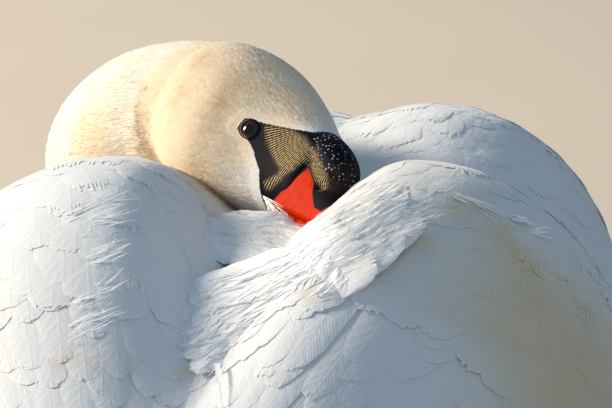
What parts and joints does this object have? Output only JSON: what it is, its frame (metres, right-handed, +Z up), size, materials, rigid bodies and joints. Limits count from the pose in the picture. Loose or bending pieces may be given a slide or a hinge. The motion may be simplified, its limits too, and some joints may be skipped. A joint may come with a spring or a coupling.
{
  "type": "mute swan",
  "caption": "Life-size mute swan at rest on its belly, neck laid back over the left shoulder and bill tucked under the feathers of the right wing",
  "frame": {"origin": "on the floor, under the middle of the bird's bounding box", "axes": "+X is the swan's left side, +Y its tail, +Z up; the breast points to -Y"},
  "size_m": [0.3522, 0.81, 0.3001],
  "materials": {
    "plumage": "soft overlapping white feathers, matt, cool in the shade",
    "head_plumage": "short velvety feathers, white stained cream and tan",
    "black_skin": "bare black skin with fine ridges and pimples, half gloss",
    "bill": "orange-red horn, satin, with a black base, edge and nail",
    "eye": "dark brown, wet gloss",
    "foot_skin": "dark grey scaly skin, matt, with black horn claws"
  },
  "bodies": {
    "root": {"trunk": "plumage", "tail": "plumage", "neck_base": "plumage", "neck_middle": "plumage", "neck_upper": "head_plumage", "head": "head_plumage", "face": "black_skin", "knob": "black_skin", "bill_upper": "bill", "bill_lower": "bill", "eye_left": "eye", "shoulder_left": "plumage", "scapulars_left": "plumage", "tertials_left": "plumage", "wing_left": "plumage", "primaries_left": "plumage", "leg_left": "foot_skin", "foot_left": "foot_skin", "eye_right": "eye", "shoulder_right": "plumage", "scapulars_right": "plumage", "tertials_right": "plumage", "wing_right": "plumage", "primaries_right": "plumage", "leg_right": "foot_skin", "foot_right": "foot_skin"}
  },
  "joints": []
}
